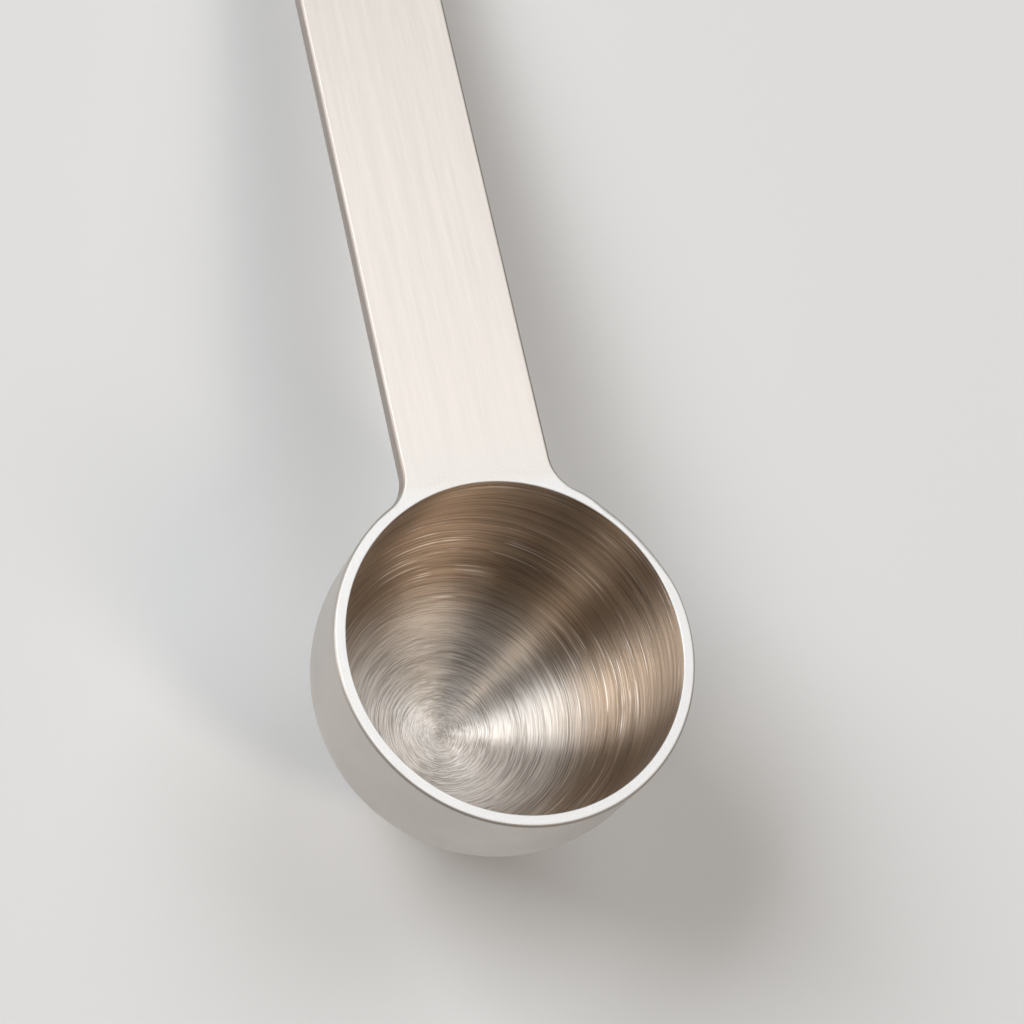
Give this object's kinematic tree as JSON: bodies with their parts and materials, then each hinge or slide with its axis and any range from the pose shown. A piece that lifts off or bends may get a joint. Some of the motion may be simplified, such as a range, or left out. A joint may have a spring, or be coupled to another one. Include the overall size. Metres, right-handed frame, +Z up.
{
  "type": "measuring spoon",
  "caption": "Deep round measuring spoon with a flat ground rim and a long flat strap handle welded flush at the neck.",
  "frame": {"origin": "centre of the bounding box in X and Y, at table height: the spoon lies at rest on the round of the bowl and the lower edge of the handle's tip", "axes": "+Z up from the table, +Y along the table from the bowl to the handle's tip, +X across the spoon"},
  "size_m": [0.0423, 0.1589, 0.0388],
  "materials": {
    "bowl_steel": "satin outside and on the ground rim, ring-brushed inside",
    "handle_steel": "fine straight grain along the strap",
    "weld_steel": "ground flush and blended by hand"
  },
  "bodies": {
    "root": {"bowl": "bowl_steel", "handle": "handle_steel", "weld_fillet_left": "weld_steel", "weld_fillet_right": "weld_steel", "weld_bead_under": "weld_steel"}
  },
  "joints": []
}
